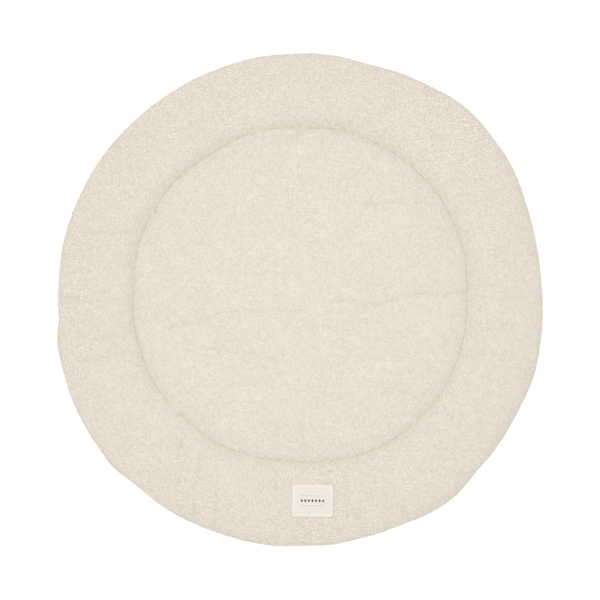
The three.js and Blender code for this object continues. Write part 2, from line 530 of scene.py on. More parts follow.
class Effects:
    """Shader node groups that several finishes share, each made once."""

    def __init__(self) -> None:
        """Makes every group."""
        self.melange = self._melange()
        self.weave = self._weave()
        self.seam_tones = self._seam_tones_and_shade()

    def with_tones_and_shade(self, sheet: NodeSheet, colour: Any) -> bpy.types.NodeSocket:
        """The colour with its warm tone by the ring, darker on the rim, and painted shade at the
        edge and in folds.
        """
        inputs = {"Color": colour}
        return sheet.out("ShaderNodeGroup", inputs, "Color", node_tree=self.seam_tones)

    def woven(self, sheet: NodeSheet, pitch: float, turn: float = 0.0) -> Any:
        """The outputs of a plain weave: its height, and the gaps between its threads."""
        inputs = {"Pitch": pitch, "Turn": turn}
        return sheet.add("ShaderNodeGroup", inputs, node_tree=self.weave).outputs

    @staticmethod
    def _group(
        name: str, inputs: dict[str, tuple[str, Any]], outputs: Sequence[tuple[str, str]]
    ) -> tuple[bpy.types.NodeTree, NodeSheet, Any, Any]:
        """Starts a group with named sockets.

        Args:
            name: The group's name.
            inputs: For each input its kind and default value.
            outputs: The name and kind of each output.

        Returns:
            The group, a sheet for its nodes, what its inputs give and where its outputs go.
        """
        group = bpy.data.node_groups.new(name, "ShaderNodeTree")
        for label, (kind, value) in inputs.items():
            kind = "NodeSocket" + kind
            made = group.interface.new_socket(label, in_out="INPUT", socket_type=kind)
            made.default_value = value
        for label, kind in outputs:
            kind = "NodeSocket" + kind
            group.interface.new_socket(label, in_out="OUTPUT", socket_type=kind)
        given = group.nodes.new("NodeGroupInput").outputs
        wanted = group.nodes.new("NodeGroupOutput").inputs
        return group, NodeSheet(group), given, wanted

    def _melange(self) -> bpy.types.NodeTree:
        """Yarn of mixed fibres, whose colour wanders between two tones in clouds and specks.

        Returns:
            The node group.
        """
        inputs = {
            "Light": ("Color", (1, 1, 1, 1)),
            "Dark": ("Color", (0.5, 0.5, 0.5, 1)),
            "Strand": ("Float", 0.5),
            "Strand Share": ("Float", 0.5),
            "Cloud Scale": ("Float", 14.0),
            "Speck Scale": ("Float", 400.0),
        }
        group, sheet, given, wanted = self._group("yarn_melange", inputs, [("Color", "Color")])
        place = sheet.place()
        clouds = sheet.noise(place, given["Cloud Scale"], 3.0)
        fibres = sheet.sum("ADD", clouds, sheet.noise(place, given["Speck Scale"]))
        own = sheet.sum("MULTIPLY", given["Strand"], given["Strand Share"])
        rest = sheet.sum("SUBTRACT", 1.0, given["Strand Share"])
        shared = sheet.sum("MULTIPLY", sheet.sum("MULTIPLY", fibres, 0.5), rest)
        colour = sheet.mix(sheet.sum("ADD", own, shared), given["Light"], given["Dark"])
        group.links.new(colour, wanted["Color"])
        return group

    def _seam_tones_and_shade(self) -> bpy.types.NodeTree:
        """Cloth that is warmer by the sewn ring, and darker on the rim, with painted shade at the
        edge and in folds.

        Returns:
            The node group.
        """
        inputs = {
            "Color": ("Color", (1, 1, 1, 1)),
            "Ring Tint": ("Color", (1.0, 0.980, 0.970, 1)),
            # Painted shade along the edge
            "Edge Tint": ("Color", (0.90, 0.89, 0.88, 1)),
            "Edge Reach": ("Float", 0.004),
            "Rim Tint": ("Color", (0.95, 0.945, 0.955, 1)),
            "Rim Reach": ("Float", 0.12),
            # Painted shade in the folds
            "Fold Tint": ("Color", (0.95, 0.945, 0.94, 1)),
        }
        group, sheet, given, wanted = self._group("seam_tones", inputs, [("Color", "Color")])
        colour = given["Color"]
        for value, tint, reach in ((BY_RING, "Ring Tint", None),
                                   (FROM_EDGE, "Edge Tint", "Edge Reach"),
                                   (FROM_EDGE, "Rim Tint", "Rim Reach"),
                                   (FOLD_SHADE, "Fold Tint", None)):
            near = sheet.held(value)
            if reach:
                share = sheet.sum("DIVIDE", near, given[reach])
                near = sheet.sum("EXPONENT", sheet.sum("MULTIPLY", share, -1.0))
            colour = sheet.out(
                "ShaderNodeMix", {"Factor": near, "A": colour, "B": given[tint]}, "Result",
                data_type="RGBA", blend_type="MULTIPLY")
        group.links.new(colour, wanted["Color"])
        return group

    def _weave(self) -> bpy.types.NodeTree:
        """Plain weave: threads that pass over and under each other in both directions.

        Returns:
            The node group, which gives the weave's height and the gaps between its threads.
        """
        inputs = {
            "Turn": ("Float", 0.0),
            "Pitch": ("Float", 0.001),
            "Slub": ("Float", 0.3),
            "Slub Scale": ("Float", 700.0),
        }
        outputs = [("Height", "Float"), ("Gap", "Float")]
        group, sheet, given, wanted = self._group("plain_weave", inputs, outputs)
        turn = {"Vector": sheet.place(), "Angle": given["Turn"]}
        turned = sheet.out("ShaderNodeVectorRotate", turn, rotation_type="Z_AXIS")
        count = sheet.sum("DIVIDE", math.pi, given["Pitch"])
        parts = sheet.add("ShaderNodeSeparateXYZ", {"Vector": turned}).outputs
        warp = sheet.sum("SINE", sheet.sum("MULTIPLY", parts["X"], count))
        weft = sheet.sum("SINE", sheet.sum("MULTIPLY", parts["Y"], count))
        over = sheet.sum("MULTIPLY", warp, weft)
        rough = sheet.sum("MULTIPLY", sheet.noise(turned, given["Slub Scale"]), given["Slub"])
        height = sheet.sum("ADD", sheet.sum("MULTIPLY", over, 0.5), rough)
        group.links.new(height, wanted["Height"])
        gap = sheet.sum("SUBTRACT", 1.0, sheet.sum("ABSOLUTE", over))
        group.links.new(gap, wanted["Gap"])
        return group


@dataclass(frozen=True)
class Cloth:
    """What every finish of cloth and yarn has: a matt body with the sheen of its fibres."""

    name: str
    light: Colour
    dark: Colour
    roughness: float = 0.95
    sheen: float = 0.25
    sheen_roughness: float = 0.5
    specular: float = 0.15
    bump_strength: float = 0.5
    bump_depth: float = 0.0002

    def make(self, effects: Effects) -> bpy.types.Material:
        """Builds the material.

        Args:
            effects: The node groups that finishes share.

        Returns:
            The material.
        """
        material = bpy.data.materials.new(self.name)
        material.use_nodes = True
        shader = material.node_tree.nodes["Principled BSDF"]
        set_inputs(shader, {
            "Roughness": self.roughness, "Sheen Weight": self.sheen,
            "Sheen Roughness": self.sheen_roughness, "Specular IOR Level": self.specular})
        sheet = NodeSheet(material.node_tree)
        colour, height = self.look(sheet, effects)
        sheet.tree.links.new(colour, shader.inputs["Base Color"])
        if height is not None:
            bump = {"Strength": self.bump_strength, "Distance": self.bump_depth, "Height": height}
            sheet.tree.links.new(sheet.out("ShaderNodeBump", bump), shader.inputs["Normal"])
        return material

    def look(self, sheet: NodeSheet, effects: Effects) -> Look:
        """The finish's colour, and its height where it is bumpy. Each finish has its own."""
        raise NotImplementedError(self.name)

    def melange(
        self, sheet: NodeSheet, effects: Effects, **values: float | bpy.types.NodeSocket
    ) -> bpy.types.NodeSocket:
        """Mixes the finish's two tones as the shared yarn group does.

        Args:
            sheet: The material's nodes.
            effects: The node groups that finishes share.
            values: The group's other inputs, with _ for each space in their names.

        Returns:
            The colour.
        """
        inputs = {"Light": self.light, "Dark": self.dark}
        inputs |= {name.replace("_", " "): value for name, value in values.items()}
        return sheet.out("ShaderNodeGroup", inputs, "Color", node_tree=effects.melange)


@dataclass(frozen=True)
class PileFinish(Cloth):
    """Curls of terry yarn, each with a tone of its own."""

    strand_share: float = 0.7

    def look(self, sheet: NodeSheet, effects: Effects) -> Look:
        """The yarn's colour, with the tones of the seams and painted shade at the edge and in
        folds.
        """
        yarn = self.melange(
            sheet, effects, Strand=sheet.held(TONE), Strand_Share=self.strand_share)
        return effects.with_tones_and_shade(sheet, yarn), None


@dataclass(frozen=True)
class CoverFinish(Cloth):
    """Terry ground cloth on top, bare along the edge in a darker colour that is partly painted
    shade, and plain woven cloth underneath.
    """

    # The edge colour is the bare seam cloth, made darker and greyer with painted shade of the
    # turned shoulder
    edge: Colour = (0.64, 0.59, 0.52, 1)
    woven_light: Colour = (0.715, 0.660, 0.578, 1)
    woven_dark: Colour = (0.61, 0.553, 0.475, 1)
    bare: tuple[float, float] = (1.978, 1.992)
    weave_pitch: float = 0.0012
    weave_height: float = 0.25
    gap_shade: float = 0.7
    fluff_scale: float = 520.0
    bump_strength: float = 0.6
    bump_depth: float = 0.0006

    def look(self, sheet: NodeSheet, effects: Effects) -> Look:
        """Terry as far as the edge, plain weave beyond it, and the height of both.

        Args:
            sheet: The material's nodes.
            effects: The node groups that finishes share.

        Returns:
            The colour and the height.
        """
        station = sheet.held(STATION)
        is_woven = sheet.sum("GREATER_THAN", station, WOVEN_FROM)
        # The yarn with its warm band by the ring, darker rim, and painted shade at the edge and in
        # folds
        warmed_and_shaded = effects.with_tones_and_shade(sheet, self.melange(sheet, effects))
        # Towards the edge the terry turns to the edge colour: bare cloth with painted shade
        ramp = {"Value": station, "From Min": self.bare[0], "From Max": self.bare[1]}
        terry = sheet.mix(sheet.out("ShaderNodeMapRange", ramp), warmed_and_shaded, self.edge)
        weave = effects.woven(sheet, self.weave_pitch)
        shade = sheet.sum("MULTIPLY", weave["Gap"], self.gap_shade)
        woven = sheet.mix(shade, self.woven_light, self.woven_dark)
        fluff = sheet.noise(sheet.place(), self.fluff_scale, 3.0)
        on_top = sheet.sum("MULTIPLY", fluff, sheet.sum("SUBTRACT", 1.0, is_woven))
        share = sheet.sum("MULTIPLY", is_woven, self.weave_height)
        below = sheet.sum("MULTIPLY", weave["Height"], share)
        return sheet.mix(is_woven, terry, woven), sheet.sum("ADD", on_top, below)


@dataclass(frozen=True)
class ThreadFinish(Cloth):
    """Sewing thread, with the fine ribs of its twist."""

    cloud_scale: float = 160.0
    speck_scale: float = 1500.0
    rib_scale: float = 2500.0
    bump_strength: float = 0.4
    bump_depth: float = 0.0001

    def look(self, sheet: NodeSheet, effects: Effects) -> Look:
        """The thread's colour and its ribs."""
        colour = self.melange(
            sheet, effects, Cloud_Scale=self.cloud_scale, Speck_Scale=self.speck_scale)
        return colour, sheet.noise(sheet.place(), self.rib_scale)


@dataclass(frozen=True)
class LabelFinish(Cloth):
    """Fine cotton tape in plain weave, a shade creamier where its hem lies double."""

    hem_light: Colour = (0.86, 0.798, 0.705, 1)
    weave_pitch: float = 0.0006
    gap_shade: float = 0.8
    turn: float = 0.0

    def look(self, sheet: NodeSheet, effects: Effects) -> Look:
        """The weave's colour, creamier in the hem, and its height.

        Args:
            sheet: The material's nodes.
            effects: The node groups that finishes share.

        Returns:
            The colour and the height.
        """
        weave = effects.woven(sheet, self.weave_pitch, self.turn)
        light = sheet.mix(sheet.held(HEM), self.light, self.hem_light)
        shade = sheet.sum("MULTIPLY", weave["Gap"], self.gap_shade)
        return sheet.mix(shade, light, self.dark), weave["Height"]


@dataclass(frozen=True)
class PadForm:
    """Sizes of the pad in metres, and the shape that they give it.

    The heights are those of the tips of the pile, and the cloth itself lies lower by
    pile_depth. The channel is 1.5 mm higher than the solid pad's, and the pad rises from it
    sooner towards the middle and later towards the rim. All else is within a millimetre of it.
    """

    mat_radius: float = 0.4751
    ring_radius: float = 0.3252
    disc_height: float = 0.023
    rim_height: float = 0.026
    channel_height: float = 0.0120
    channel_lift: float = 0.0015
    channel_arch: float = 0.026
    seam_height: float = 0.0068
    seam_gape: float = 0.0034
    seam_tuck: float = 0.0018
    disc_rise: float = 0.065
    rim_rise: float = 0.050
    edge_rise: float = 0.046
    edge_undercut: float = 0.026
    pile_depth: float = 0.0008
    pile_fade: float = 0.01
    warm_middle: float = 0.0045
    warm_spread: float = 0.0122
    fold_narrowing: float = 0.7
    deep_fold: float = 0.0022
    outline_centre: tuple[float, float] = (0.0013, 0.0006)
    ring_centre: tuple[float, float] = (0.0013, 0.0103)

    def ring(self, degrees: np.ndarray) -> np.ndarray:
        """Points of the sewn ring at the given angles."""
        return round_line(self.ring_centre, self.ring_radius, RING_BUMPS, degrees)

    def edge(self, degrees: np.ndarray) -> np.ndarray:
        """Points of the sewn edge at the given angles."""
        return round_line(self.outline_centre, self.mat_radius, OUTLINE_BUMPS, degrees)

    def by_ring(self, outwards: np.ndarray) -> np.ndarray:
        """1 in the warm band that lies just outside the sewn ring, less away from it."""
        return bell(outwards - self.warm_middle, self.warm_spread)

    def in_fold(self, points: np.ndarray) -> np.ndarray:
        """How much painted shade a fold gives: 1 in the bottom of a deep fold, less in a shallow
        one or beside it.
        """
        return np.clip(self.fold_depth(points, self.fold_narrowing) / self.deep_fold, 0, 1)

    def edge_lift(self, degrees: np.ndarray) -> np.ndarray:
        """How far the edge ripples up or down.

        Args:
            degrees: The angle of each point.

        Returns:
            The lift at each angle, in metres.
        """
        lifts = [wave.lift * np.sin(np.radians(wave.count * degrees + wave.start))
                 for wave in EDGE_WAVES]
        return sum(lifts) * MM

    def fold_depth(self, points: np.ndarray, narrow: float = 1.0) -> np.ndarray:
        """How deep the folds press the top in.

        Args:
            points: x and y of each point.
            narrow: How much narrower than they are the folds are taken.

        Returns:
            The depth at each point, in metres.
        """
        depth = np.zeros(len(points))
        for fold in FOLDS:
            line = np.array(fold.line) * MM
            apart = np.full(len(points), np.inf)
            for start, end in zip(line, line[1:]):
                along = end - start
                share = np.clip((points - start) @ along / (along @ along), 0, 1)
                from_piece = np.linalg.norm(points - start - share[:, None] * along, axis=1)
                apart = np.minimum(apart, from_piece)
            depth += fold.depth * MM * bell(apart, fold.width * MM * narrow)
        return depth


@dataclass(frozen=True)
class Stations:
    """Where the points of one cover lie on it, one row for each point."""

    degrees: np.ndarray
    points: np.ndarray
    from_ring: np.ndarray
    from_edge: np.ndarray
    in_rim: np.ndarray
    station: np.ndarray


@dataclass
class PadCover:
    """The two covers with their filling: a closed form, drawn in along the ring and the edge."""

    form: PadForm
    disc_rings: int = 32
    rim_rings: int = 20
    ring_packing: float = 1.6
    sheet_gap: float = 0.1
    fill_frames: int = 20
    fill_cap: float = 0.0018
    fill_pressure: float = 1.0
    fill_quality: int = 4
    cloth_stiffness: float = 400.0
    cloth_shear: float = 400.0 / 3
    cloth_bending: float = 5.0
    slack: float = 0.001
    held_width: float = 0.0001
    pucker_depth: float = 0.0009
    pucker_start: float = 0.004
    pucker_reach: float = 0.022
    edge_reach: float = 0.02
    lump_depth: float = 0.0009
    lump_rise: float = 0.05
    groove_depth: float = 0.0003
    groove_width: float = 0.0028
    fold_rise: float = 0.02
    ring_puckers: Rumple = Rumple(0.021, 3.1, 0.011, 7.7)
    edge_puckers: Rumple = Rumple(0.026, 5.3, 0.013, 1.9)
    lumps: Rumple = Rumple(0.075, 2.2, 0.038, 8.4)
    # The ground cloth's tones are a little darker than the pile's: painted shade under the curls
    finish: CoverFinish = field(default_factory=lambda: CoverFinish(
        "terry_ground", (0.790, 0.730, 0.642, 1), (0.715, 0.650, 0.560, 1)))

    def build(self, effects: Effects) -> bpy.types.Object:
        """Makes the pad, fills it, and gathers it along its seams.

        Args:
            effects: The node groups that finishes share.

        Returns:
            The dressed pad, without its pile.
        """
        cover = self._cut_and_sew()
        self._fill(cover)
        apply_modifier(cover, "SUBSURF", levels=1, render_levels=1)
        self._gather(cover)
        cover.data.shade_smooth()
        cover.data.materials.append(self.finish.make(effects))
        return cover

    def _cut_and_sew(self) -> bpy.types.Object:
        """Lays one cover over the other, bridges their edges and gives both their shape.

        Returns:
            The two covers as one closed form, whose points carry their values.
        """
        rings = self.disc_rings + self.rim_rings
        deselect_all()
        bpy.ops.mesh.primitive_grid_add(
            x_subdivisions=2 * rings, y_subdivisions=2 * rings, size=2)
        cover = named("terry_cover")
        with editing():
            bpy.ops.mesh.duplicate()
            bpy.ops.transform.translate(value=(0, 0, -self.sheet_gap))
            bpy.ops.mesh.flip_normals()
            bpy.ops.mesh.select_all(action="DESELECT")
            bpy.ops.mesh.select_non_manifold()
            bpy.ops.mesh.bridge_edge_loops(number_cuts=1)
            bpy.ops.mesh.select_all(action="SELECT")
            bpy.ops.mesh.normals_make_consistent(inside=False)
        grid = points_of(cover)
        layer = np.rint(-2 * grid[:, 2] / self.sheet_gap)
        at = self._stations(np.rint(grid[:, :2] * rings))
        top, seam = layer == 0, layer == 1
        points = at.points.copy()
        points[seam] *= 1 - self.form.seam_tuck / self.form.mat_radius
        heights = np.select([top, seam], [self._top(at), self._seam(at)], self._under(at))
        put_points(cover, np.column_stack([points, heights]))
        station = np.select([top, seam], [at.station, SEAM_STATION], UNDER_STATION)
        keep_values(cover, STATION, station)
        keep_values(cover, FROM_RING, at.from_ring)
        outwards = np.where(at.in_rim, at.from_ring, -at.from_ring)
        keep_values(cover, BY_RING, self.form.by_ring(outwards))
        # How far in from the edge, for the darker rim and the painted shade along the edge
        keep_values(cover, FROM_EDGE, at.from_edge)
        return cover

    def _stations(self, steps: np.ndarray) -> Stations:
        """Wraps the square grid into rings, so that every ring line is a closed loop.

        Args:
            steps: How many squares each point lies from the middle, in x and y.

        Returns:
            Where each point lies on the pad.
        """
        across, up = steps.T
        ring_count = np.maximum(np.abs(across), np.abs(up))
        safe = np.where(ring_count == 0, 1, ring_count)
        sideways = 45 * up / np.where(across == 0, safe, across)
        upwards = 90 - 45 * across / np.where(up == 0, safe, up)
        wide = np.abs(across) >= np.abs(up)
        degrees = np.where(wide, sideways, upwards)
        degrees = degrees + np.where(np.where(wide, across, up) < 0, 180, 0)
        ring, edge = self.form.ring(degrees), self.form.edge(degrees)
        in_disc = np.clip(ring_count / self.disc_rings, 0, 1)
        disc_share = 1 - (1 - in_disc) ** self.ring_packing
        in_rim = ring_count > self.disc_rings
        turn = np.pi * (ring_count - self.disc_rings) / self.rim_rings
        rim_share = np.where(in_rim, (1 - np.cos(turn)) / 2, 0)
        middle = np.array(self.form.ring_centre)
        disc_points = middle + (ring - middle) * disc_share[:, None]
        rim_points = ring + (edge - ring) * rim_share[:, None]
        points = np.where(in_rim[:, None], rim_points, disc_points)
        return Stations(
            degrees, points, np.linalg.norm(points - ring, axis=1),
            np.linalg.norm(points - edge, axis=1), in_rim, disc_share + rim_share)

    def _top(self, at: Stations) -> np.ndarray:
        """Shapes the top cover's cloth.

        Args:
            at: Where its points lie.

        Returns:
            Their heights.
        """
        form = self.form
        low = form.channel_height
        disc = low + (form.disc_height - low) * puff(at.from_ring, form.disc_rise)
        full = form.rim_height
        lip = form.seam_height + form.seam_gape / 2 + form.edge_lift(at.degrees)
        to_ring = (full - low) * (1 - puff(at.from_ring, form.rim_rise))
        to_edge = (full - lip) * (1 - shoulder(at.from_edge, form.edge_rise))
        height = np.where(at.in_rim, full - to_ring - to_edge, disc)
        return height - form.pile_depth * np.clip(at.from_edge / form.pile_fade, 0, 1)

    def _under(self, at: Stations) -> np.ndarray:
        """Shapes the underside cover's cloth, which the stitches draw up a little.

        Args:
            at: Where its points lie.

        Returns:
            Their heights.
        """
        form = self.form
        arch_share = np.clip(at.from_ring / form.channel_arch, 0, 1)
        arch = form.channel_lift * np.cos(arch_share * np.pi / 2) ** 2
        lip = form.seam_height - form.seam_gape / 2 + form.edge_lift(at.degrees)
        return arch + np.where(at.in_rim, lip * (1 - shoulder(at.from_edge, form.edge_undercut)), 0)

    def _seam(self, at: Stations) -> np.ndarray:
        """Height of the line where the two covers are sewn together."""
        return self.form.seam_height + self.form.edge_lift(at.degrees)

    def _fill(self, cover: bpy.types.Object) -> None:
        """Presses the filling against the top, held along the ring and the edge.

        The wadding keeps the crown at its height, so each ring line keeps its mean height and
        only the creases that the pressure leaves in it are kept.

        Args:
            cover: The covers as they were sewn. Their points move.
        """
        before = points_of(cover)
        station = values_of(cover, STATION)
        is_sewn = (values_of(cover, FROM_RING) < self.held_width) | (station > SEWN_FROM)
        sewn = cover.vertex_groups.new(name="sewn")
        sewn.add(np.flatnonzero(is_sewn).tolist(), 1.0, "REPLACE")
        select_only(cover)
        filling = cover.modifiers.new("filling", "CLOTH")
        cloth = filling.settings
        cloth.vertex_group_mass = sewn.name
        cloth.use_pressure = True
        cloth.uniform_pressure_force = self.fill_pressure
        cloth.shrink_min = -self.slack
        cloth.tension_stiffness = self.cloth_stiffness
        cloth.compression_stiffness = self.cloth_stiffness
        cloth.shear_stiffness = self.cloth_shear
        cloth.bending_stiffness = self.cloth_bending
        cloth.quality = self.fill_quality
        cloth.effector_weights.gravity = 0
        filling.collision_settings.use_collision = False
        for step in range(1, self.fill_frames + 1):
            bpy.context.scene.frame_set(step)
        bpy.ops.object.modifier_apply(modifier=filling.name)
        bpy.context.scene.frame_set(1)
        moves = points_of(cover) - before
        _, ring = np.unique(np.round(station, 4), return_inverse=True)
        crown = np.bincount(ring, moves[:, 2]) / np.bincount(ring)
        moves[:, 2] -= crown[ring]
        far = np.linalg.norm(moves, axis=1, keepdims=True)
        moves *= np.minimum(1, self.fill_cap / np.maximum(far, TINY))
        put_points(cover, before + moves)
        cover.vertex_groups.clear()
        log.info("filling raised the crown by up to %.1f mm, and creased it by %.2f mm",
                 crown.max() / MM, far.mean() / MM)

    def _gather(self, cover: bpy.types.Object) -> None:
        """Presses the groove and the folds in, puckers the cloth and lumps the wadding.

        Args:
            cover: The filled covers. Their points move, and get the weights of the painted shade in
                folds.
        """
        form = self.form
        points = points_of(cover)
        flat = points[:, :2]
        from_ring = values_of(cover, FROM_RING)
        out = flat - form.ring_centre
        rays = out / np.maximum(np.linalg.norm(out, axis=1, keepdims=True), TINY)
        from_edge = form.mat_radius - np.linalg.norm(flat, axis=1)
        by_ring = np.exp(-from_ring / self.pucker_reach)
        by_ring *= 1 - np.exp(-from_ring / self.pucker_start)
        by_edge = np.exp(-np.abs(from_edge) / self.edge_reach)
        inner = 1 - by_edge
        at_ring = self.ring_puckers.at(rays * form.ring_radius)
        at_edge = self.edge_puckers.at(rays * form.mat_radius)
        rise = self.pucker_depth * (at_ring * by_ring + at_edge * by_edge)
        rise += self.lump_depth * self.lumps.at(flat) * puff(from_ring, self.lump_rise) * inner
        rise -= self.groove_depth * bell(from_ring, self.groove_width)
        rise -= form.fold_depth(flat) * puff(from_ring, self.fold_rise) * inner
        on_top = 1 - smooth_step(values_of(cover, STATION), *TOP_FADES)
        # The weight of the painted shade in folds, on the top cover only
        keep_values(cover, FOLD_SHADE, form.in_fold(flat) * on_top)
        points[:, 2] = np.maximum(points[:, 2] + rise * on_top, 0)
        put_points(cover, points)


@dataclass(frozen=True)
class LabelForm:
    """Sizes and place of the label, in metres."""

    width: float = 0.079
    length: float = 0.062
    centre: tuple[float, float] = (0.0239, -0.3845)
    turn: float = math.radians(-0.9)
    corner: float = 0.0012
    hem: float = 0.005
    thickness: float = 0.0005
    stitch_inset: float = 0.002

    def place(self, points: np.ndarray) -> np.ndarray:
        """Moves points on the flat label to where it lies on the mat."""
        cos, sin = math.cos(self.turn), math.sin(self.turn)
        return points @ np.array([[cos, sin], [-sin, cos]]) + self.centre

    def lay_flat(self, points: np.ndarray) -> np.ndarray:
        """Moves points on the mat to where they are on the flat label."""
        cos, sin = math.cos(self.turn), math.sin(self.turn)
        return (points - self.centre) @ np.array([[cos, -sin], [sin, cos]])

    def inset(self, points: np.ndarray) -> np.ndarray:
        """How far points on the flat label lie in from its border."""
        return np.minimum(self.width / 2 - np.abs(points[:, 0]),
                          self.length / 2 - np.abs(points[:, 1]))


class Curl(Enum):
    """The forms that a curl of pile takes: half its width, length and height, in metres."""

    TUFT = (0.0023, 0.0023, 0.0011)
    BEAN = (0.0019, 0.0028, 0.0010)
    KNOT = (0.0021, 0.0022, 0.0012)


@dataclass(frozen=True)
class Band:
    """A ring-shaped part of the pile, between two stations."""

    name: str
    start: float
    end: float


@dataclass
class Pile:
    """Short curls of yarn that stand close together on the top cover, in staggered rows."""

    form: PadForm
    label: LabelForm
    spacing: float = 0.0033
    scatter: float = 0.28
    seed: int = 11
    bare_by_edge: float = 0.0006
    edge_rows: tuple[float, ...] = (0.0014, 0.0022)
    under_label: float = 0.0005
    parting_size: float = 0.009
    parting_layer: float = 4.4
    parting_width: float = 0.0018
    parting_noise: tuple[float, float] = (0.12, 0.24)
    margin: float = 0.02
    roughness: float = 0.22
    root_depth: float = 0.6
    tilt: float = 0.22
    smallest: float = 0.82
    largest: float = 1.22
    short_by_seam: float = 0.85
    short_reach: float = 0.009
    bands: tuple[Band, ...] = (
        Band("pile_middle", -1, 0.577), Band("pile_disc", 0.577, 0.816),
        Band("pile_disc_edge", 0.816, 1.0), Band("pile_rim_inner", 1.0, 1.38),
        Band("pile_rim_crown", 1.38, 1.71), Band("pile_rim_outer", 1.71, 2.0),
    )
    finish: PileFinish = field(default_factory=lambda: PileFinish(
        "terry_pile", (0.910, 0.844, 0.748, 1), (0.762, 0.699, 0.607, 1)))

    def build(self, cover: bpy.types.Object, effects: Effects) -> list[bpy.types.Object]:
        """Sows the curls over the cover.

        Args:
            cover: The dressed pad.
            effects: The node groups that finishes share.

        Returns:
            One piece for each band.
        """
        curls = self._model_curls()
        standing = self._standing_tree(curls)
        material = self.finish.make(effects)
        roots, station, outwards, from_edge = self._roots()
        heights, facing = Surface(cover).under(roots)
        places = np.column_stack([roots, heights])
        pieces = []
        for band in self.bands:
            chosen = (station > band.start) & (station <= band.end) & np.isfinite(heights)
            piece = self._lay_out(band.name, places[chosen], facing[chosen])
            # What the finish reads: the warm band by the ring, how far in from the edge for the
            # darker rim and the painted edge shade, and the painted shade in folds
            keep_values(piece, BY_RING, self.form.by_ring(outwards[chosen]))
            keep_values(piece, FROM_EDGE, from_edge[chosen])
            keep_values(piece, FOLD_SHADE, self.form.in_fold(roots[chosen]))
            keep_values(piece, FROM_SEAM, np.minimum(np.abs(outwards), from_edge)[chosen])
            apply_modifier(piece, "NODES", node_group=standing)
            piece.data.materials.clear()
            piece.data.materials.append(material)
            pieces.append(piece)
        for curl in list(curls.objects):
            bpy.data.objects.remove(curl)
        bpy.data.collections.remove(curls)
        return pieces

    def _model_curls(self) -> bpy.types.Collection:
        """Models one curl of each form.

        Returns:
            The curls, kept together for sowing.
        """
        curls = bpy.data.collections.new("curls")
        for number, curl in enumerate(Curl):
            deselect_all()
            bpy.ops.mesh.primitive_cone_add(
                vertices=5, radius1=1, depth=1, end_fill_type="TRIFAN")
            piece = named("curl_" + curl.name.lower())
            x, y, z = points_of(piece).T
            select_points(piece, (np.hypot(x, y) < 0.5) & (z < 0))
            with editing(everything=False):
                bpy.ops.transform.translate(value=(0, 0, -self.root_depth))
                bpy.ops.mesh.select_all(action="SELECT")
                bpy.ops.transform.translate(value=(0, 0, self.root_depth))
                bpy.ops.transform.vertex_random(
                    offset=self.roughness, uniform=1.0, seed=self.seed + number)
                bpy.ops.transform.resize(value=curl.value, center_override=(0, 0, 0))
            piece.data.shade_smooth()
            for home in piece.users_collection:
                home.objects.unlink(piece)
            curls.objects.link(piece)
        return curls

    def _roots(self) -> tuple[np.ndarray, np.ndarray, np.ndarray, np.ndarray]:
        """Sets out where the curls stand, clear of the seam, the stitched line and the label.

        Returns:
            x and y of each root, its station, how far it is out from the ring, and how far
            in from the edge.
        """
        reach = self.form.mat_radius + self.margin
        rows = np.arange(-reach, reach, self.spacing * math.sqrt(3) / 2)
        columns = np.arange(-reach, reach, self.spacing)
        x, y = np.meshgrid(columns, rows)
        x[1::2] += self.spacing / 2
        roots = np.column_stack([x.ravel(), y.ravel()])
        chance = np.random.default_rng(self.seed)
        rows_by_edge = [self._row_by_edge(inset) for inset in self.edge_rows]
        roots = np.concatenate([roots, *rows_by_edge])
        roots += chance.uniform(-self.scatter, self.scatter, roots.shape) * self.spacing
        ring, from_middle = self._line_beside(roots, self.form.ring_centre, self.form.ring)
        edge, from_centre = self._line_beside(roots, self.form.outline_centre, self.form.edge)
        outwards, from_edge = from_middle - ring, edge - from_centre
        rim = np.maximum(from_edge + outwards, self.spacing)
        station = np.where(outwards < 0, from_middle / ring, 1 + outwards / rim)
        parting = wander(roots, self.parting_size, self.parting_layer)
        bare = self.parting_width * smooth_step(parting, *self.parting_noise)
        flat = self.label.lay_flat(roots)
        clear = self.label.inset(flat) < self.under_label
        clear &= (np.abs(outwards) > bare) & (from_edge > self.bare_by_edge)
        return roots[clear], station[clear], outwards[clear], from_edge[clear]

    def _row_by_edge(self, inset: float) -> np.ndarray:
        """Sets out a row along the edge, which fills the steep side of the rim.

        Args:
            inset: How far in from the edge the row runs.

        Returns:
            x and y of each root.
        """
        count = round(2 * math.pi * self.form.mat_radius / self.spacing)
        edge = self.form.edge(np.arange(count) * 360 / count)
        out = edge - self.form.outline_centre
        return edge - inset * out / np.linalg.norm(out, axis=1, keepdims=True)

    @staticmethod
    def _line_beside(
        points: np.ndarray, centre: tuple[float, float], line: Callable[[np.ndarray], np.ndarray]
    ) -> tuple[np.ndarray, np.ndarray]:
        """Compares points with a round line.

        Args:
            points: x and y of each point.
            centre: The line's middle.
            line: Gives the line's points at any angles in degrees.

        Returns:
            How far the line and the point itself are from the middle, in each point's direction.
        """
        out = points - centre
        degrees = np.degrees(np.arctan2(out[:, 1], out[:, 0])) % 360
        return np.hypot(*(line(degrees) - centre).T), np.hypot(*out.T)

    @staticmethod
    def _lay_out(name: str, places: np.ndarray, facing: np.ndarray) -> bpy.types.Object:
        """Makes a piece of loose points.

        Args:
            name: The name of the new piece.
            places: Where the points are.
            facing: The direction that the cloth faces there.

        Returns:
            The piece.
        """
        mesh = bpy.data.meshes.new(name)
        mesh.from_pydata(places.tolist(), [], [])
        held = mesh.attributes.new(FACING, "FLOAT_VECTOR", "POINT")
        held.data.foreach_set("vector", np.ascontiguousarray(facing, dtype=np.float32).ravel())
        return place_mesh(name, mesh)

